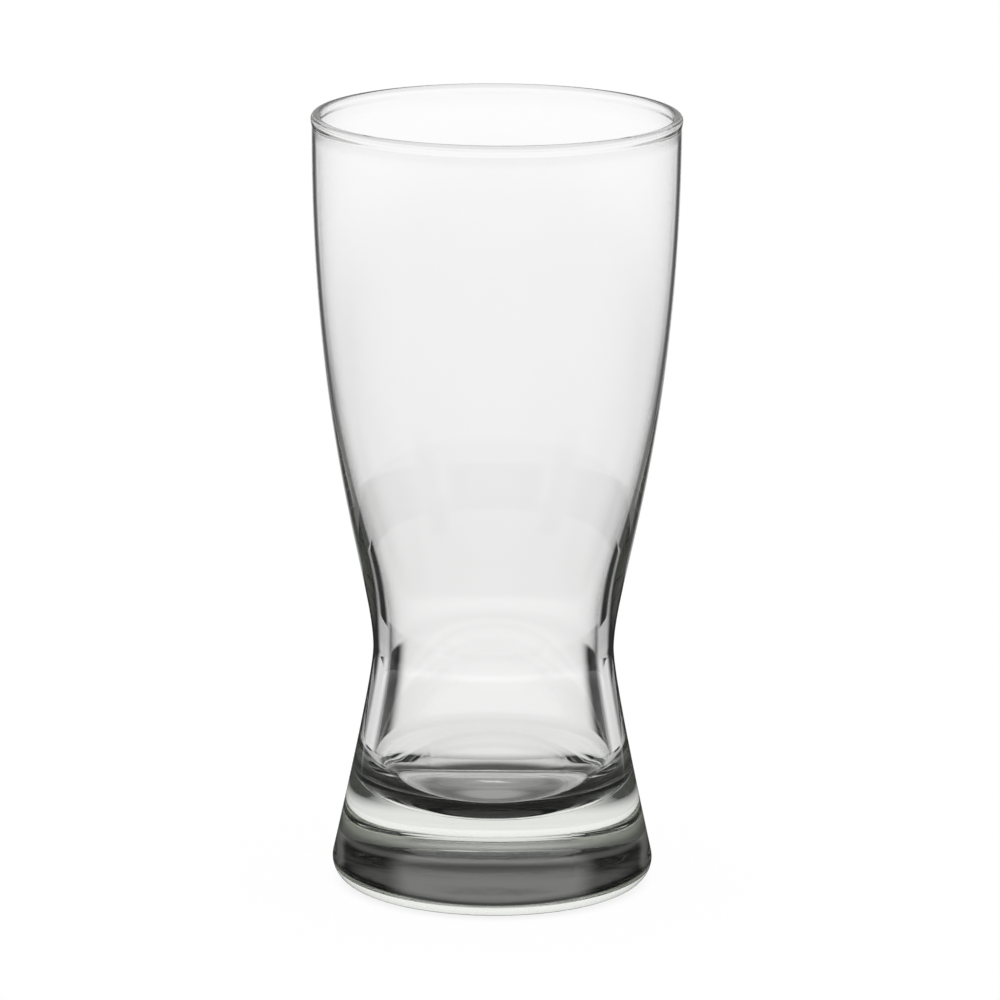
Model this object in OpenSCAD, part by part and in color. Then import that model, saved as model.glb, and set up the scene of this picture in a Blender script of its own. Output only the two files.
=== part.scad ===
// Hourglass beer glass: one turned piece of clear glass with a rolled rim, a narrow waist and a heavy foot.
// The half outline is drawn as [radius, height] and turned about the upright axis.
// The origin is the middle of the underside, on the table.

/* [Overall] */
// Height from the table to the top of the rim
glass_h = 155; // [140:1:180]
// Diameter over the rim bead, the widest part of the glass
rim_d = 73; // [66:0.5:84]
// Outer diameter at the waist
waist_d = 47.9; // [44:0.1:54]
// Height of the waist above the table
waist_h = 47.5; // [42:0.5:60]
// Diameter over the foot
foot_d = 64; // [58:0.5:74]

/* [Rim] */
// Thickness of the rolled rim bead
bead_t = 2; // [1.6:0.1:3]
// How far the bead stands out past the bowl
bead_proud = 0.2; // [0:0.05:0.5]
// Height over which the bead runs out into the wall
bead_neck_h = 1.6; // [0.8:0.1:4]

/* [Walls] */
// Wall thickness just under the rim bead
mouth_wall = 1.2; // [1:0.05:1.6]
// Wall thickness at the waist
waist_wall = 3.5; // [2:0.1:6]
// Glass under the drinking space, from the table to its floor
base_t = 16; // [10:0.5:20]

/* [Bowl curves] */
// How far the outside keeps upright above the waist
bowl_waist_pull = 14; // [8:0.5:26]
// How far the outside keeps upright below the rim
bowl_rim_pull = 63; // [40:1:70]
// How far the inside keeps upright above the waist
inside_waist_pull = 18; // [10:0.5:28]
// How far the inside keeps upright below the rim
inside_rim_pull = 73; // [45:1:76]

/* [Foot] */
// Radius of the rounded edge between the flank and the underside
foot_edge_r = 4.4; // [1:0.1:6]
// Lean of the foot's flank at its edge, in degrees from upright
flank_lean = 12.5; // [8:0.5:20]
// Length over which the flank keeps that lean
flank_pull = 10; // [4:0.5:16]
// How far the outside keeps upright below the waist
flank_waist_pull = 6; // [3:0.5:14]
// Width of the flat ring that the glass stands on
bearing_w = 5.5; // [1.5:0.5:8]
// Height of the shallow hollow under the base, at its middle
punt_h = 0.8; // [0.5:0.1:5]

/* [Drinking space] */
// Widest diameter of the drinking space below the waist
well_d = 46.8; // [42:0.1:48]
// Radius of the corner between the floor and the wall
corner_r = 10; // [3:0.5:12]
// Lean of the inner wall above that corner, in degrees from upright
well_lean = 10; // [3:0.5:14]
// Length over which the inner wall keeps that lean
well_pull = 6; // [3:0.5:9]
// How far the inside keeps upright below the waist
well_waist_pull = 4; // [3:0.5:10]

/* [Hidden] */

// Smoothness: points on a rounded corner, a short curve and a long curve, and sides of a full turn
arc_steps = 8;
short_steps = 14;
long_steps = 28;
turn_sides = 96;

// Radii of the outline, from the foot up
foot_r = foot_d / 2;
waist_r = waist_d / 2;
rim_r = rim_d / 2;
bowl_r = rim_r - bead_proud;
bearing_r = foot_r - foot_edge_r;
punt_r = bearing_r - bearing_w;

// Radii of the drinking space
well_r = well_d / 2;
inner_waist_r = waist_r - waist_wall;
mouth_r = bowl_r - mouth_wall;

// The rim bead is a half round on a short neck
bead_r = bead_t / 2;
bead_h = glass_h - bead_r;
neck_h = bead_h - bead_neck_h;
neck_pull_share = 0.4;
neck_pull = neck_pull_share * bead_neck_h;

// The hollow under the base is level at its middle and runs out level into the bearing ring
punt_middle_share = 0.45;
punt_edge_share = 0.3;

// Point at share t of a cubic curve from a to d, which leaves a towards b and reaches d from c
function curve_point(a, b, c, d, t) =
    pow(1 - t, 3) * a + 3 * pow(1 - t, 2) * t * b + 3 * (1 - t) * t * t * c + pow(t, 3) * d;

// The curve's points, without its first, which ends the stretch before it
function curve(a, b, c, d, steps) = [for (i = [1:steps]) curve_point(a, b, c, d, i / steps)];

// Points of a round corner about a centre, from one angle to another in degrees
function arc(centre, radius, from, to, steps) =
    [for (i = [0:steps]) let (w = from + (to - from) * i / steps) centre + radius * [cos(w), sin(w)]];

// A point straight above p, and a point up a line through p that leans towards the axis
function above(p, length) = p + [0, length];
function up_lean(p, length, lean) = p + length * [-sin(lean), cos(lean)];

// Underside: the hollow from the axis to the bearing ring, then the flat ring itself
function underside() =
    let (top = [0, punt_h], edge = [punt_r, 0])
    concat(
        [top],
        curve(top, top + [punt_middle_share * punt_r, 0], edge - [punt_edge_share * punt_r, 0], edge, short_steps)
    );

// Foot: the rounded edge and the flank that rises from it to the waist
function foot_outside() =
    let (
        edge = arc([bearing_r, foot_edge_r], foot_edge_r, -90, flank_lean, arc_steps),
        start = edge[arc_steps],
        waist = [waist_r, waist_h]
    )
    concat(
        edge,
        curve(start, up_lean(start, flank_pull, flank_lean), above(waist, -flank_waist_pull), waist, short_steps)
    );

// Bowl: the flare from the waist up to the neck of the rim bead
function bowl_outside() =
    let (waist = [waist_r, waist_h], neck = [bowl_r, neck_h])
    curve(waist, above(waist, bowl_waist_pull), above(neck, -bowl_rim_pull), neck, long_steps);

// Rim: out along the neck, over the half round, and in along the neck on the drinking side
function rim_bead() =
    let (
        outer_neck = [bowl_r, neck_h],
        inner_neck = [mouth_r, neck_h],
        bead = arc([rim_r - bead_r, bead_h], bead_r, 0, 180, 2 * arc_steps),
        outer_side = bead[0],
        inner_side = bead[2 * arc_steps]
    )
    concat(
        curve(outer_neck, above(outer_neck, neck_pull), above(outer_side, -neck_pull), outer_side, arc_steps),
        [for (i = [1:2 * arc_steps]) bead[i]],
        curve(inner_side, above(inner_side, -neck_pull), above(inner_neck, neck_pull), inner_neck, arc_steps)
    );

// Drinking space, bowl part: from the neck down to the waist
function bowl_inside() =
    let (neck = [mouth_r, neck_h], waist = [inner_waist_r, waist_h])
    curve(neck, above(neck, -inside_rim_pull), above(waist, inside_waist_pull), waist, long_steps);

// Drinking space, well part: from the waist down to the round corner and the level floor
function well_inside() =
    let (
        waist = [inner_waist_r, waist_h],
        corner = arc([well_r - corner_r, base_t + corner_r], corner_r, well_lean, -90, arc_steps),
        end = corner[0]
    )
    concat(
        curve(waist, above(waist, -well_waist_pull), up_lean(end, well_pull, well_lean), end, short_steps),
        [for (i = [1:arc_steps]) corner[i]],
        [[0, base_t]]
    );

// The whole glass: every stretch of the outline in order, turned about the axis
module beer_glass() {
    color([0.86, 0.9, 0.88, 0.45])
        rotate_extrude($fn = turn_sides)
            polygon(concat(underside(), foot_outside(), bowl_outside(), rim_bead(), bowl_inside(), well_inside()));
}

beer_glass();
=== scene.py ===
# %% [markdown]
# # An hourglass beer glass
#
# The object is one piece of clear glass: a rolled rim, a thin bowl, a narrow waist and a heavy solid foot.
# Clear glass has hardly any colour of its own. What the eye sees is where its curved walls send the light
# from, so this lesson gives as much care to the outline and to what stands round the glass as to the
# material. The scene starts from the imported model, which holds the size and the place of the piece.

# %% Load the frame
import math

import bpy
import numpy as np
from mathutils import Matrix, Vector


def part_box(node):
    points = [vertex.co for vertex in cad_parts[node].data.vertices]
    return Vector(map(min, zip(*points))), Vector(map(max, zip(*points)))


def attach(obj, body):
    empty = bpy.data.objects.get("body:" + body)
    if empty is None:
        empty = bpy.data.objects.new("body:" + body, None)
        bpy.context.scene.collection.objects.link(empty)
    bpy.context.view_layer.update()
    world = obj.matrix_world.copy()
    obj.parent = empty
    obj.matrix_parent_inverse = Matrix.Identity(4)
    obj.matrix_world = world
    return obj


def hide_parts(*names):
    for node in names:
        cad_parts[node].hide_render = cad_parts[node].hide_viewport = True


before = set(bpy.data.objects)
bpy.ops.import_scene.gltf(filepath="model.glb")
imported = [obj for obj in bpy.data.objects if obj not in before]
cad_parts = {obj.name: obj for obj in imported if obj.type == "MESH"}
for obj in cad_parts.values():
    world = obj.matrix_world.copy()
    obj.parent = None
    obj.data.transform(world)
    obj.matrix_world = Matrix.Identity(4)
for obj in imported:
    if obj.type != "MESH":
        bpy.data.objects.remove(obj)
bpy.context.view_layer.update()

low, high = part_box("beer_glass")
GLASS_HEIGHT = high[2] - low[2]
RIM_RADIUS = (high[0] - low[0]) / 2
print(f"glass: {GLASS_HEIGHT:.4f} m high, {2 * RIM_RADIUS:.4f} m over the rim")

# %% [markdown]
# ## The outline
#
# A real glass of this kind is pressed and blown in a mould that spins, so it is a turned shape: one half
# outline of (radius, height) points, carried once round the axis. A cylinder with dents would give the
# wrong highlights, because a lens only looks right if its curve has no corners. Each stretch here is a
# cubic curve or a round corner that meets the next one in the same direction.

# %% Sizes of the outline, in metres
MM = 0.001
WAIST_RADIUS = 23.95 * MM
WAIST_HEIGHT = 47.5 * MM
FOOT_RADIUS = 32 * MM
BEAD_RADIUS = 1 * MM
BEAD_PROUD = 0.2 * MM
BEAD_NECK = 1.6 * MM
MOUTH_WALL = 1.2 * MM
WAIST_WALL = 3.5 * MM
BASE_THICKNESS = 16 * MM
BOWL_WAIST_PULL = 14 * MM
BOWL_RIM_PULL = 63 * MM
INSIDE_WAIST_PULL = 18 * MM
INSIDE_RIM_PULL = 73 * MM
FOOT_EDGE_RADIUS = 4.4 * MM
FLANK_LEAN = math.radians(12.5)
FLANK_PULL = 10 * MM
FLANK_WAIST_PULL = 6 * MM
BEARING_WIDTH = 5.5 * MM
PUNT_HEIGHT = 0.8 * MM
WELL_RADIUS = 23.4 * MM
CORNER_RADIUS = 10 * MM
WELL_LEAN = math.radians(10)
WELL_PULL = 6 * MM
WELL_WAIST_PULL = 4 * MM

bowl_radius = RIM_RADIUS - BEAD_PROUD
mouth_radius = bowl_radius - MOUTH_WALL
inner_waist_radius = WAIST_RADIUS - WAIST_WALL
bearing_radius = FOOT_RADIUS - FOOT_EDGE_RADIUS
punt_radius = bearing_radius - BEARING_WIDTH
bead_height = GLASS_HEIGHT - BEAD_RADIUS
neck_height = bead_height - BEAD_NECK
print(f"mouth {2 * mouth_radius / MM:.1f} mm inside, waist {2 * inner_waist_radius / MM:.1f} mm inside")


# %% Curves that the outline is made of
def cubic(a, b, c, d, steps):
    """Cubic curve from a to d that leaves towards b and arrives from c, without its first point.

    At share t it is (1-t)^3 a + 3 (1-t)^2 t b + 3 (1-t) t^2 c + t^3 d.
    """
    t = np.linspace(0, 1, steps + 1)[1:, None]
    a, b, c, d = (np.asarray(point, float) for point in (a, b, c, d))
    return (1 - t) ** 3 * a + 3 * (1 - t) ** 2 * t * b + 3 * (1 - t) * t**2 * c + t**3 * d


def corner(centre, radius, start, stop, steps):
    """Round corner: centre + radius (cos w, sin w), with the angle w going from start to stop."""
    w = np.linspace(start, stop, steps + 1)[:, None]
    return np.asarray(centre, float) + radius * np.hstack([np.cos(w), np.sin(w)])


def above(point, length):
    """The point straight above another one."""
    return np.asarray(point, float) + (0, length)


def up_lean(point, length, lean):
    """The point up a line that leans from upright towards the axis."""
    return np.asarray(point, float) + (-length * math.sin(lean), length * math.cos(lean))


# %% The half outline, from the middle of the underside round to the middle of the drinking floor
PUNT_MIDDLE_SHARE = 0.45
PUNT_EDGE_SHARE = 0.3
NECK_PULL_SHARE = 0.4
LONG_STEPS = 64
SHORT_STEPS = 32
CORNER_STEPS = 14
FLOOR_STEPS = 12


def underside():
    """The hollow under the base: level at the axis, and level again where it meets the bearing ring."""
    top = np.array([[0, PUNT_HEIGHT]])
    reach = (PUNT_MIDDLE_SHARE * punt_radius, PUNT_HEIGHT)
    back = ((1 - PUNT_EDGE_SHARE) * punt_radius, 0)
    return np.vstack([top, cubic(top[0], reach, back, (punt_radius, 0), SHORT_STEPS)])


def foot_outside():
    """The flat bearing ring, the round foot edge and the flank up to the waist."""
    ring = np.linspace((punt_radius, 0), (bearing_radius, 0), FLOOR_STEPS)[1:-1]
    centre = (bearing_radius, FOOT_EDGE_RADIUS)
    edge = corner(centre, FOOT_EDGE_RADIUS, -math.pi / 2, FLANK_LEAN, CORNER_STEPS)
    waist = (WAIST_RADIUS, WAIST_HEIGHT)
    lean_end = up_lean(edge[-1], FLANK_PULL, FLANK_LEAN)
    flank = cubic(edge[-1], lean_end, above(waist, -FLANK_WAIST_PULL), waist, SHORT_STEPS)
    return np.vstack([ring, edge, flank])


def bowl_outside():
    """The flare from the waist up to the neck of the rim bead."""
    waist = (WAIST_RADIUS, WAIST_HEIGHT)
    neck = (bowl_radius, neck_height)
    return cubic(waist, above(waist, BOWL_WAIST_PULL), above(neck, -BOWL_RIM_PULL), neck, LONG_STEPS)


def rim_bead():
    """The half round of the rim on its short neck, outside and inside."""
    pull = NECK_PULL_SHARE * BEAD_NECK
    outer = (bowl_radius, neck_height)
    inner = (mouth_radius, neck_height)
    bead = corner((RIM_RADIUS - BEAD_RADIUS, bead_height), BEAD_RADIUS, 0, math.pi, 2 * CORNER_STEPS)
    up = cubic(outer, above(outer, pull), above(bead[0], -pull), bead[0], CORNER_STEPS)
    down = cubic(bead[-1], above(bead[-1], -pull), above(inner, pull), inner, CORNER_STEPS)
    return np.vstack([up, bead[1:], down])


def drinking_side():
    """The bowl's inside down to the waist, the well, its round corner and the level floor."""
    neck = (mouth_radius, neck_height)
    waist = (inner_waist_radius, WAIST_HEIGHT)
    centre = (WELL_RADIUS - CORNER_RADIUS, BASE_THICKNESS + CORNER_RADIUS)
    floor_corner = corner(centre, CORNER_RADIUS, WELL_LEAN, -math.pi / 2, CORNER_STEPS)
    bowl = cubic(neck, above(neck, -INSIDE_RIM_PULL), above(waist, INSIDE_WAIST_PULL), waist, LONG_STEPS)
    lean_end = up_lean(floor_corner[0], WELL_PULL, WELL_LEAN)
    well = cubic(waist, above(waist, -WELL_WAIST_PULL), lean_end, floor_corner[0], SHORT_STEPS)
    floor = np.linspace(floor_corner[-1], (0, BASE_THICKNESS), FLOOR_STEPS)[1:]
    return np.vstack([bowl, well, floor_corner[1:], floor])


stretches = [underside(), foot_outside(), bowl_outside(), rim_bead(), drinking_side()]
outline = np.vstack(stretches)
inside = drinking_side()
drop = -np.diff(inside[:, 1])
middle_radius = (inside[1:, 0] + inside[:-1, 0]) / 2
drink = float(np.sum(math.pi * middle_radius**2 * drop))
print(f"outline: {len(outline)} points; drinking space about {drink * 1e6:.0f} ml below the rim's neck")

# %% [markdown]
# ## Turning it, with the marks of the mould
#
# Perfect glass looks like a diagram. A real bowl has slow waves, about a hundredth of a millimetre deep,
# left by blowing, and two faint upright ridges where the halves of the mould met. The ridges are plainest
# on the heavy foot and are melted away towards the rim, which was polished in a flame. They could be
# painted on as a bump, but a lens shows real height at its true edge, so they are part of the surface here.
# The waves only draw a surface towards the axis and the ridges stay within the rim's width, so the piece
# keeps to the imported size.

# %% The marks
WAVE_DEPTH = 0.01 * MM
WAVE_LOBES = (2, 3, 5)
WAVE_PITCH = 55 * MM
SEAM_ANGLES = tuple(math.radians(angle) for angle in (-58.5, 121.5))
SEAM_HEIGHT = 0.02 * MM
SEAM_WIDTH = 0.5 * MM
SEAM_FADE = (12 * MM, 40 * MM)
OUTER_STRETCHES = (0, 1, 1, 0, 0)


def waves(angle, height):
    """How far the surface sinks, from 0 to 1: half of one more than the mean of three slow sine waves.

    A wave with n lobes is sin(n angle + 2 pi height / pitch + n), so it drifts round as it climbs.
    """
    total = sum(np.sin(lobes * angle + height / WAVE_PITCH * math.tau + lobes) for lobes in WAVE_LOBES)
    return (total / len(WAVE_LOBES) + 1) / 2


def seams(angle, radius, height, outer):
    """How far the ridges stand out: exp(-(distance / width)^2) from each seam, and less further up."""
    off = [np.abs((angle - seam + math.pi) % math.tau - math.pi) * radius for seam in SEAM_ANGLES]
    ridge = sum(np.exp(-((distance / SEAM_WIDTH) ** 2)) for distance in off)
    left = 1 - np.clip((height - SEAM_FADE[0]) / (SEAM_FADE[1] - SEAM_FADE[0]), 0, 1)
    return outer * ridge * left


outer_side = np.concatenate([np.full(len(part), share) for part, share in zip(stretches, OUTER_STRETCHES)])
print(f"seams at {', '.join(f'{math.degrees(angle):.1f}' for angle in SEAM_ANGLES)} degrees")

# %% Turn the outline round the axis
TURN_STEPS = 240
SEAM_STEPS = 4
SEAM_STEP_ANGLE = math.radians(0.3)


def turn_angles():
    """Even steps round the axis, with a few close ones on both sides of each seam."""
    even = np.arange(TURN_STEPS) / TURN_STEPS * math.tau
    near = np.arange(-SEAM_STEPS, SEAM_STEPS + 1) * SEAM_STEP_ANGLE
    close = np.concatenate([seam + near for seam in SEAM_ANGLES]) % math.tau
    return np.unique(np.round(np.concatenate([even, close]), 5))


def turned(points, outer, angles):
    """Vertices and faces of the outline carried round the axis.

    The point (r, z) goes to (r cos u, r sin u, z) for each angle u. The first and last points lie on the
    axis, so each is one vertex, closed by a fan of triangles; the rest are rings joined by quads.
    """
    rings = points[1:-1]
    steps = len(angles)
    u, z = np.meshgrid(angles, rings[:, 1])
    r = np.repeat(rings[:, :1], steps, axis=1)
    marks = SEAM_HEIGHT * seams(u, r, z, outer[1:-1, None]) - WAVE_DEPTH * waves(u, z)
    r = r + marks * np.minimum(r / WAIST_RADIUS, 1)
    body = np.stack([r * np.cos(u), r * np.sin(u), z], axis=2).reshape(-1, 3)
    poles = np.array([[0, 0, points[0, 1]], [0, 0, points[-1, 1]]])
    here = np.arange(len(rings) * steps).reshape(len(rings), steps)
    beside = np.roll(here, -1, axis=1)
    quads = np.stack([here[:-1], beside[:-1], beside[1:], here[1:]], axis=2).reshape(-1, 4)
    first, last = len(body), len(body) + 1
    start_fan = np.stack([np.full(steps, first), beside[0], here[0]], axis=1)
    end_fan = np.stack([np.full(steps, last), here[-1], beside[-1]], axis=1)
    return np.vstack([body, poles]), quads.tolist() + start_fan.tolist() + end_fan.tolist()


def mesh_object(name, vertices, faces):
    """A mesh object at the origin, linked to the scene."""
    mesh = bpy.data.meshes.new(name)
    mesh.from_pydata(vertices.tolist(), [], faces)
    thing = bpy.data.objects.new(name, mesh)
    bpy.context.scene.collection.objects.link(thing)
    return thing


glass = mesh_object("clear_beer_glass", *turned(outline, outer_side, turn_angles()))
glass.data.polygons.foreach_set("use_smooth", np.ones(len(glass.data.polygons), bool))
glass.data.update()
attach(glass, "root")
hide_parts("beer_glass")
print(f"{glass.name}: {len(glass.data.polygons)} faces")

# %% [markdown]
# ## The glass itself
#
# Clear soda-lime glass bends light by 1.52 and takes a little blue and red out of it over a long way, which
# is why only the thick foot looks faintly olive. The tint is therefore an absorption inside the piece, and
# not a colour on its surface. A surface that is perfectly even would still look drawn: a used glass has
# faint smudges, a skin like very fine orange peel, an underside that the mould's bottom left uneven, and a
# ring that years of tables have dulled. All four are worked out from the place on the glass.

# %% A helper that joins nodes
HALF = 0.5


class Nodes:
    """Adds nodes to one tree; each call takes sockets or numbers and gives back the new node's output."""

    def __init__(self, tree):
        self.new = tree.nodes.new
        self.link = tree.links.new

    def feed(self, socket, value):
        """Links a socket, or sets a number on it."""
        if isinstance(value, bpy.types.NodeSocket):
            self.link(value, socket)
        else:
            socket.default_value = value

    def maths(self, operation, *values):
        """One Math node."""
        node = self.new("ShaderNodeMath")
        node.operation = operation
        for socket, value in zip(node.inputs, values):
            self.feed(socket, value)
        return node.outputs["Value"]

    def smooth(self, value, edges, start, stop):
        """Goes smoothly from start to stop while value goes from the first edge to the second."""
        node = self.new("ShaderNodeMapRange")
        node.interpolation_type = "SMOOTHSTEP"
        names = ("Value", "From Min", "From Max", "To Min", "To Max")
        for name, given in zip(names, (value, *edges, start, stop)):
            self.feed(node.inputs[name], given)
        return node.outputs["Result"]

    def at_least(self, count, times):
        """1 where a whole number is this much or more, 0 where it is less."""
        return self.maths("GREATER_THAN", count, times - HALF)

    def at_most(self, count, times):
        """1 where a whole number is this much or less, 0 where it is more."""
        return self.maths("LESS_THAN", count, times + HALF)

    def mix(self, share, first, second):
        """first where share is 0, second where it is 1."""
        node = self.new("ShaderNodeMix")
        self.feed(node.inputs["Factor"], share)
        self.feed(node.inputs[2], first)
        self.feed(node.inputs[3], second)
        return node.outputs[0]

    def noise(self, place, scale, detail):
        """Noise from 0 to 1 with this many patches to the metre."""
        node = self.new("ShaderNodeTexNoise")
        self.feed(node.inputs["Vector"], place)
        self.feed(node.inputs["Scale"], scale)
        self.feed(node.inputs["Detail"], detail)
        return node.outputs["Fac"]

    def light_path(self):
        """What kind of light meets this place, and what it has been through."""
        return self.new("ShaderNodeLightPath").outputs

    def place(self):
        """The place on the piece, its distance from the axis and its height, in metres."""
        spot = self.new("ShaderNodeTexCoord").outputs["Object"]
        axes = self.new("ShaderNodeSeparateXYZ")
        self.link(spot, axes.inputs[0])
        x, y, z = axes.outputs
        squares = self.maths("ADD", self.maths("MULTIPLY", x, x), self.maths("MULTIPLY", y, y))
        return spot, self.maths("SQRT", squares), z


# %% Clear glass
GLASS_IOR = 1.52
TINT = (0.84, 0.88, 0.78)
TINT_DENSITY = 7
SMUDGE_SCALE = 45
SMUDGE_DETAIL = 3
SMUDGE_EDGES = (0.45, 0.75)
SMUDGE_ROUGHNESS = 0.02
SKIN_SCALE = 300
SKIN_DETAIL = 1
SKIN_HEIGHT = 0.002 * MM
UNDER_SCALE = 130
UNDER_DETAIL = 2
UNDER_HEIGHT = 0.05 * MM
UNDER_EDGE = (0.3 * MM, 1.2 * MM)
WORN_HEIGHT = (0.02 * MM, 0.12 * MM)
WORN_ROUGHNESS = 0.3


def clear_glass():
    """Clear glass with smudges, a fine skin, an uneven underside and a worn bearing ring."""
    material = bpy.data.materials.new("clear_glass")
    material.use_nodes = True
    nodes = material.node_tree.nodes
    shader = nodes["Principled BSDF"]
    shader.inputs["Base Color"].default_value = (1, 1, 1, 1)
    shader.inputs["Transmission Weight"].default_value = 1
    shader.inputs["IOR"].default_value = GLASS_IOR
    build = Nodes(material.node_tree)
    spot, radius, height = build.place()
    patches = build.noise(spot, SMUDGE_SCALE, SMUDGE_DETAIL)
    smudges = build.smooth(patches, SMUDGE_EDGES, 0, SMUDGE_ROUGHNESS)
    touching = build.smooth(height, WORN_HEIGHT, 1, 0)
    ring = build.maths("MULTIPLY", touching, build.maths("GREATER_THAN", radius, punt_radius))
    build.feed(shader.inputs["Roughness"], build.mix(ring, smudges, WORN_ROUGHNESS))
    skin = build.maths("MULTIPLY", build.noise(spot, SKIN_SCALE, SKIN_DETAIL), SKIN_HEIGHT)
    under_height = build.smooth(height, UNDER_EDGE, UNDER_HEIGHT, 0)
    under = build.maths("MULTIPLY", build.noise(spot, UNDER_SCALE, UNDER_DETAIL), under_height)
    bump = build.new("ShaderNodeBump")
    build.feed(bump.inputs["Distance"], 1)
    build.feed(bump.inputs["Height"], build.maths("ADD", skin, under))
    build.link(bump.outputs["Normal"], shader.inputs["Normal"])
    absorb = build.new("ShaderNodeVolumeAbsorption")
    absorb.inputs["Color"].default_value = (*TINT, 1)
    absorb.inputs["Density"].default_value = TINT_DENSITY
    build.link(absorb.outputs["Volume"], nodes["Material Output"].inputs["Volume"])
    return material


glass.data.materials.append(clear_glass())
print("clear glass: index", GLASS_IOR)

# %% [markdown]
# ## The floor under it
#
# The glass stands on a white sweep of paper. Paper that runs on for ever is the white of the world itself,
# so only the round patch near the foot is modelled, and it thins out into that white. What the camera sees
# of the patch is white with a small soft shadow. What the glass shows of it is a painted shadow: the paper
# glows in greys that stand in for the shade of the heavy foot, which keeps most light off the paper below
# it. A look straight down through the base meets a painted grey disc, paler in its middle and at its edge.
# Light that bounces inside the glass before it gets there meets painted black for the closed space under
# the foot, or pale paper there once it has crossed the drinking space. The Light Path node tells these
# apart by counting how often a ray has bounced and how many faces of the glass it has crossed. The greys
# depend only on the distance from the axis, so they are the same from every side.

# %% The patch of paper
PAPER_RADIUS = 75 * MM
PAPER_SIDES = 96
PAPER_DROP = 0.05 * MM
PAPER_COLOUR = (0.93, 0.93, 0.92, 1)
PAPER_ROUGHNESS = 0.8
print(f"paper: {PAPER_RADIUS:.3f} m round the axis, {PAPER_DROP / MM} mm under the foot")

# %% Its greys: each goes from its first shade to its second between two distances from the axis
PAPER_CLEAR = ((45 * MM, 72 * MM), 0, 1)
SHADOW_WHITE = ((29 * MM, 33 * MM), 0.85, 0.98)
PAST_FOOT = ((31.5 * MM, 34 * MM), 0, 1)
PAST_FOOT_BOUNCED = ((31 * MM, 36 * MM), 0, 1)
# Painted shadow greys that only the glass sees: grey under the foot, pale to black under it for light that
# has crossed the drinking space, darker just beside the foot, and near black for light that has bounced
UNDER_MIDDLE = ((4 * MM, 11 * MM), 0.42, 0.17)
UNDER_RIM = ((16 * MM, 27 * MM), 0, 0.45)
UNDER_ACROSS = ((20 * MM, 25 * MM), 0.8, 0.05)
BESIDE_GREY = ((33 * MM, 42 * MM), 0.2, 0.88)
UNDER_BLACK = 0.008
BOUNCED_AGAIN_SHADE = 0.015
print("paper under the middle of the foot:", UNDER_MIDDLE[1])

# %% Counts of bounces and of crossed faces that tell one kind of light from another
BOUNCED = 1
BOUNCED_AGAIN = 2
BOUNCED_LONG = 11
OUT_OF_GLASS = 1
ACROSS_DRINK = 3
print("faces crossed once light is in the far wall:", ACROSS_DRINK)


# %% Make the paper and its finish
def paper():
    """A disc just under the foot: (R cos a, R sin a, -drop) for even angles a."""
    angle = np.arange(PAPER_SIDES) / PAPER_SIDES * math.tau
    drop = np.full(PAPER_SIDES, -PAPER_DROP)
    ring = np.stack([PAPER_RADIUS * np.cos(angle), PAPER_RADIUS * np.sin(angle), drop], axis=1)
    return mesh_object("paper", ring, [list(range(PAPER_SIDES))])


def paper_painted_shadow(build, radius, path):
    """The painted shadow greys of the paper that light from inside the glass meets, glowing in place of its
    real shade.
    """
    beside = build.smooth(radius, *BESIDE_GREY)
    under = build.maths("ADD", build.smooth(radius, *UNDER_MIDDLE), build.smooth(radius, *UNDER_RIM))
    straight = build.mix(build.smooth(radius, *PAST_FOOT), under, beside)
    across = build.at_least(path["Transmission Depth"], ACROSS_DRINK)
    black = build.mix(across, UNDER_BLACK, build.smooth(radius, *UNDER_ACROSS))
    bounced = build.mix(build.smooth(radius, *PAST_FOOT_BOUNCED), black, beside)
    again = build.at_least(path["Glossy Depth"], BOUNCED_AGAIN)
    bounced = build.mix(again, bounced, BOUNCED_AGAIN_SHADE)
    return build.mix(build.at_least(path["Glossy Depth"], BOUNCED), straight, bounced)


def paper_finish():
    """Matt white paper with its soft shadow, plain to the camera, and glowing in painted shadow greys under
    the foot to the glass.
    """
    material = bpy.data.materials.new("paper")
    material.use_nodes = True
    nodes = material.node_tree.nodes
    matt = nodes["Principled BSDF"]
    matt.inputs["Base Color"].default_value = PAPER_COLOUR
    matt.inputs["Roughness"].default_value = PAPER_ROUGHNESS
    build = Nodes(material.node_tree)
    _, radius, _ = build.place()
    path = build.light_path()
    # The glow is plain white to the camera and painted shadow greys to the glass
    glow = build.new("ShaderNodeEmission")
    shade = build.mix(path["Is Camera Ray"], paper_painted_shadow(build, radius, path), 1.0)
    build.feed(glow.inputs["Strength"], shade)
    through = build.maths("MAXIMUM", path["Is Transmission Ray"], path["Is Glossy Ray"])
    seen = build.maths("MULTIPLY", path["Is Camera Ray"], build.smooth(radius, *SHADOW_WHITE))
    surface = build.new("ShaderNodeMixShader")
    build.feed(surface.inputs["Fac"], build.maths("MAXIMUM", through, seen))
    build.link(matt.outputs["BSDF"], surface.inputs[1])
    build.link(glow.outputs["Emission"], surface.inputs[2])
    edge = build.new("ShaderNodeMixShader")
    build.feed(edge.inputs["Fac"], build.smooth(radius, *PAPER_CLEAR))
    build.link(surface.outputs["Shader"], edge.inputs[1])
    build.link(build.new("ShaderNodeBsdfTransparent").outputs["BSDF"], edge.inputs[2])
    build.link(edge.outputs["Shader"], nodes["Material Output"].inputs["Surface"])
    return material


floor = paper()
floor.data.materials.append(paper_finish())
print(f"{floor.name}: {len(floor.data.vertices)} corners")

# %% [markdown]
# ## Cards round the glass
#
# Glass on white is lit from behind and all round, and its outlines would vanish if nothing dark stood near
# it. A photographer therefore sets black cards just out of sight. Light that bounces inside the curved
# walls comes from far to the side, so the walls pick the cards up as thin dark lines, and the clear middle
# doesn't. Here four tall cards hang round the glass, four low ones stand further out between them and four
# lie flat behind them. A dark ring on the table is there for the reflections on the outside, and a pale
# collar keeps the rim from going black. All of them would also show through the bowl in some views, so only
# light that has bounced meets them, and the dark ones take only light that has crossed few faces. The
# standing ones also take it from far enough away.

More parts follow.
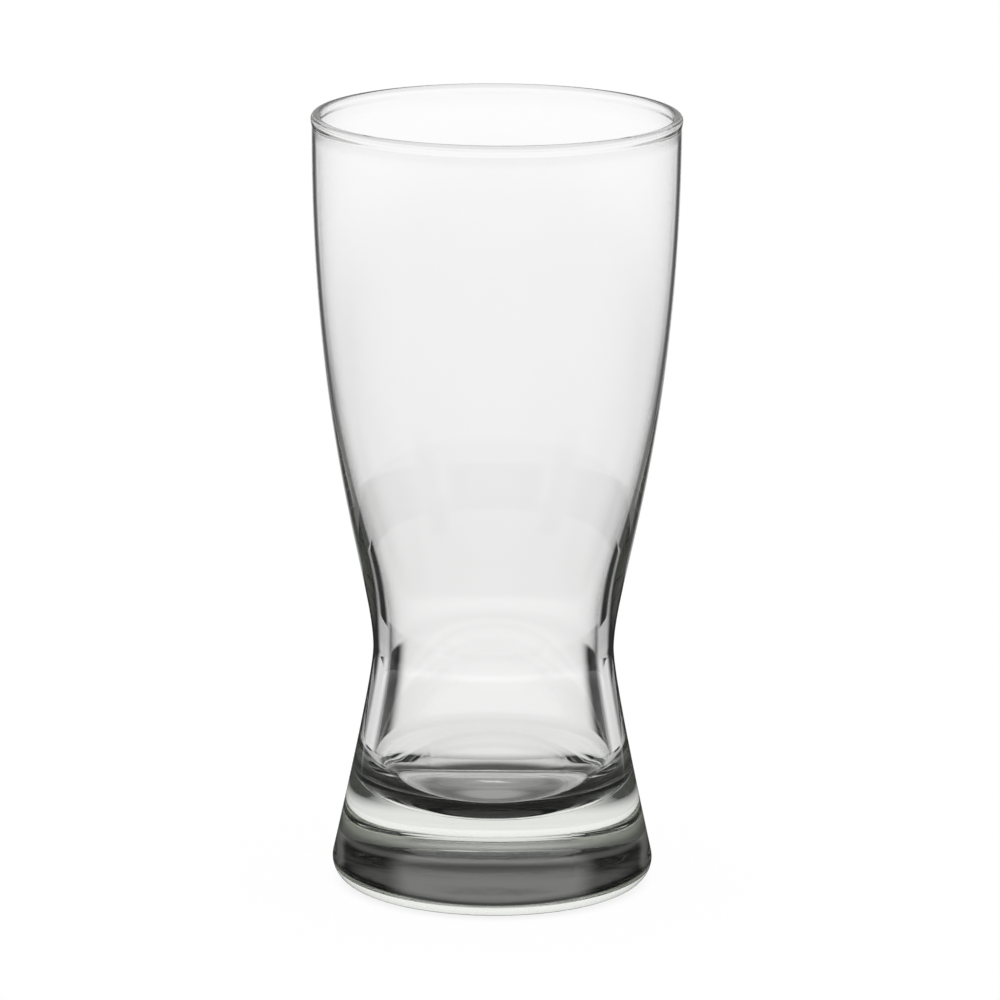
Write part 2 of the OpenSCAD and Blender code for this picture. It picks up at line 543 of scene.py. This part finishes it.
# %% Where the cards stand
CARD_STEPS = 24
CORNERS = (45, 135, 225, 315)
QUARTERS = (0, 90, 180, 270)
SOFT_SIDES = (0.3, 1.0)
SHARP_SIDES = (1.1, 1.2)
ANY_LENGTH = (0, 1 * MM)
ANY_FACES = 64
print("card places, in degrees:", CORNERS, "and", QUARTERS)

# %% The kinds of card: place and reach in degrees, foot and top as (radius, height)
CARDS = {
    "tall": dict(
        places=CORNERS, reach=10, foot=(80 * MM, 30 * MM), top=(80 * MM, 150 * MM),
        soft=SOFT_SIDES, shade=0.1, faces=2, far=(55 * MM, 62 * MM),
    ),
    "low": dict(
        places=QUARTERS, reach=38, foot=(120 * MM, 0), top=(120 * MM, 29 * MM),
        soft=(0.72, 1.0), shade=0.02, faces=2, far=(98 * MM, 108 * MM),
    ),
    "flat": dict(
        places=CORNERS, reach=11, foot=(104 * MM, 0), top=(130 * MM, 0),
        soft=SOFT_SIDES, shade=0.03, faces=2, far=ANY_LENGTH,
    ),
    "table": dict(
        places=QUARTERS, reach=45, foot=(34 * MM, 1 * MM), top=(210 * MM, 0),
        soft=SHARP_SIDES, shade=0.04, faces=0, far=ANY_LENGTH,
    ),
    "collar": dict(
        places=QUARTERS, reach=45, foot=(80 * MM, 151 * MM), top=(80 * MM, 290 * MM),
        soft=SHARP_SIDES, shade=0.65, faces=ANY_FACES, far=ANY_LENGTH,
    ),
}
print("kinds of card:", ", ".join(CARDS))


# %% Make the cards
def card_strip(place, reach, foot, top):
    """One bent card: (R sin a, R cos a, z), with a reaching this far to both sides of its place."""
    share = np.linspace(-1, 1, CARD_STEPS + 1)
    angle = np.radians(place + reach * share)
    round_axis = np.stack([np.sin(angle), np.cos(angle)], axis=1)
    edges = [np.insert(radius * round_axis, 2, height, axis=1) for radius, height in (foot, top)]
    faces = [[k, k + 1, k + CARD_STEPS + 2, k + CARD_STEPS + 1] for k in range(CARD_STEPS)]
    return np.vstack(edges), faces, np.abs(np.tile(share, 2))


def card_finish(kind):
    """A shade for light that has bounced and crossed few enough faces, and clear to all other light."""
    material = bpy.data.materials.new("card")
    material.use_nodes = True
    build = Nodes(material.node_tree)
    path = build.light_path()
    bounced = build.at_least(path["Glossy Depth"], BOUNCED)
    few_faces = build.at_most(path["Transmission Depth"], kind["faces"])
    across = build.new("ShaderNodeAttribute")
    across.attribute_name = "across"
    seen = build.maths("MULTIPLY", bounced, few_faces)
    seen = build.maths("MULTIPLY", seen, build.smooth(across.outputs["Fac"], kind["soft"], 1, 0))
    seen = build.maths("MULTIPLY", seen, build.smooth(path["Ray Length"], kind["far"], 0, 1))
    shade = build.new("ShaderNodeEmission")
    shade.inputs["Strength"].default_value = kind["shade"]
    surface = build.new("ShaderNodeMixShader")
    build.feed(surface.inputs["Fac"], seen)
    build.link(build.new("ShaderNodeBsdfTransparent").outputs["BSDF"], surface.inputs[1])
    build.link(shade.outputs["Emission"], surface.inputs[2])
    build.link(surface.outputs["Shader"], material.node_tree.nodes["Material Output"].inputs["Surface"])
    return material


for kind in CARDS.values():
    finish = card_finish(kind)
    for place in kind["places"]:
        vertices, faces, share = card_strip(place, kind["reach"], kind["foot"], kind["top"])
        card = mesh_object("card", vertices, faces)
        card.data.attributes.new("across", "FLOAT", "POINT").data.foreach_set("value", share)
        card.data.materials.append(finish)
print("cards:", sum(len(kind["places"]) for kind in CARDS.values()))

# %% [markdown]
# ## Light
#
# A lamp in front of glass would only add a glare, so the light is a round tent of white paper, and the
# world plays that tent. Light that goes straight through the glass meets its white, a little greyer towards
# the floor, with two low dark strips beside each quarter of a turn. Light that has bounced inside the glass
# comes from further round and meets the room instead: pale low down, dark at the height of the glass and
# darkest in its four corners, white at the ceiling. Light that has bounced twice or more gets only the
# upper part of that room, and after a long way through thick glass hardly any. The camera and matt surfaces
# see plain white. All of it repeats every quarter of a turn, so the glass looks alike from four sides.

# %% Straight light: each shade goes from its first value to its second between two angles above the horizon
TENT_SIDES = 4
TENT_WHITE = ((-28, -10), 0.86, 1.0)
STRIP_FOOT = ((-17, -15.3), 0, 1)
STRIP_TOP = ((-11.5, -9.5), 1, 0)
STRIP_SHADE = 0.01
print("tent, low down:", TENT_WHITE[1])

# %% Where round the tent the strips and the corners are, from 1 at a quarter of a turn to -1 between two
STRIP_NEAR = ((0.2, 0.7), 1, 0)
STRIP_PAST = ((-0.95, -0.75), 0, 1)
CORNER_SPAN = (-0.6, 0.1)
print("strips and corners:", 2 * TENT_SIDES, "and", TENT_SIDES)

# %% Bounced light, in the same way
ROOM_OUTSIDE = ((-18, -10), 0.45, 0.85)
ROOM_LOW = ((-18, -10), 0.62, 0.95)
ROOM_ACROSS = ((-18, -11), 0.1, 0.75)
ROOM_START = ((-9, -5), 0, 1)
ROOM_RISE = ((8, 22), 0.06, 0.22)
ROOM_FALL = ((23, 31), 1, 0.3)
CORNER_SHADE = ((14, 20), 0.05, 0.4)
CEILING = ((45, 58), 0, 1)
CEILING_WHITE = 0.9
ROOM_AGAIN = ((25, 33), 0.015, 0.9)
ROOM_LONG = 0.12
print("ceiling of the room:", CEILING_WHITE)

# %% The world that plays them
world = bpy.data.worlds.new("tent")
bpy.context.scene.world = world
world.use_nodes = True
world.cycles.sampling_method = "NONE"
build = Nodes(world.node_tree)
background = world.node_tree.nodes["Background"]
background.inputs["Color"].default_value = (1, 1, 1, 1)
path = build.light_path()
axes = build.new("ShaderNodeSeparateXYZ")
build.link(build.new("ShaderNodeTexCoord").outputs["Generated"], axes.inputs[0])
x, y, z = axes.outputs
quarter = build.maths("COSINE", build.maths("MULTIPLY", build.maths("ARCTAN2", x, y), TENT_SIDES))


def rise(band):
    """A shade by the angle above the horizon, which is worked out as a height on the unit sphere."""
    angles, start, stop = band
    return build.smooth(z, [math.sin(math.radians(angle)) for angle in angles], start, stop)


print("world:", world.name)

# %% What straight light meets
strip = build.maths("MULTIPLY", rise(STRIP_FOOT), rise(STRIP_TOP))
near, past = build.smooth(quarter, *STRIP_NEAR), build.smooth(quarter, *STRIP_PAST)
beside_quarter = build.maths("MULTIPLY", near, past)
strip_shade = build.mix(build.maths("MULTIPLY", strip, beside_quarter), 1.0, STRIP_SHADE)
straight = build.maths("MULTIPLY", rise(TENT_WHITE), strip_shade)
print("nodes for straight light:", len(world.node_tree.nodes))

# %% What bounced light meets, low down, at the height of the glass and at the ceiling
left_glass = build.at_least(path["Transmission Depth"], OUT_OF_GLASS)
low_room = build.mix(left_glass, rise(ROOM_OUTSIDE), rise(ROOM_LOW))
across = build.at_least(path["Transmission Depth"], ACROSS_DRINK)
low_room = build.mix(across, low_room, rise(ROOM_ACROSS))
dark_corner = build.smooth(quarter, CORNER_SPAN, rise(CORNER_SHADE), 1.0)
dark_room = build.maths("MULTIPLY", build.maths("MULTIPLY", rise(ROOM_RISE), rise(ROOM_FALL)), dark_corner)
room = build.mix(rise(ROOM_START), low_room, dark_room)
bounced = build.mix(rise(CEILING), room, CEILING_WHITE)
print("nodes with bounced light:", len(world.node_tree.nodes))

# %% Put the kinds of light together
glossy = path["Glossy Depth"]
bounced = build.mix(build.at_least(glossy, BOUNCED_AGAIN), bounced, rise(ROOM_AGAIN))
bounced = build.mix(build.at_least(glossy, BOUNCED_LONG), bounced, ROOM_LONG)
tent = build.mix(build.at_least(glossy, BOUNCED), straight, bounced)
plain = build.maths("MAXIMUM", path["Is Camera Ray"], path["Is Diffuse Ray"])
build.feed(background.inputs["Strength"], build.mix(plain, tent, 1.0))
print("nodes in the world:", len(world.node_tree.nodes))

# %% [markdown]
# ## Camera
#
# The camera stands well back with a long lens, as a catalogue photographer's does, so the rim and the foot
# keep their true widths. It looks down by 13 degrees, which opens the mouth into an ellipse, and it is
# turned by about 0.4 degrees round the line it looks along, because the glass leans by that much in the
# picture.

# %% Camera
CAMERA_DISTANCE = 1.3075
CAMERA_HEIGHT = 0.3827
CAMERA_SIDE = 0.0011
CAMERA_PITCH = math.radians(13.142)
CAMERA_ROLL = math.radians(0.38)
CAMERA_LENS = 243.86

camera_data = bpy.data.cameras.new("camera")
camera = bpy.data.objects.new("camera", camera_data)
bpy.context.scene.collection.objects.link(camera)
bpy.context.scene.camera = camera
camera_data.lens = CAMERA_LENS
camera.location = (CAMERA_SIDE, -CAMERA_DISTANCE, CAMERA_HEIGHT)
aim = Matrix.Rotation(math.pi / 2 - CAMERA_PITCH, 3, "X") @ Matrix.Rotation(CAMERA_ROLL, 3, "Z")
camera.rotation_euler = aim.to_euler()
print(f"camera: {CAMERA_DISTANCE} m away, lens {CAMERA_LENS} mm")

# %% [markdown]
# ## Colour and depth of light
#
# The Standard view shows a colour as it is written. Light crosses many walls of a glass before it gets out,
# so the limits on bounces are raised until no part of the foot goes black for want of one.

# %% View and bounces
BOUNCES = 64

scene = bpy.context.scene
scene.view_settings.view_transform = "Standard"
scene.cycles.max_bounces = BOUNCES
scene.cycles.transmission_bounces = BOUNCES
scene.cycles.glossy_bounces = BOUNCES
print("bounces:", BOUNCES)
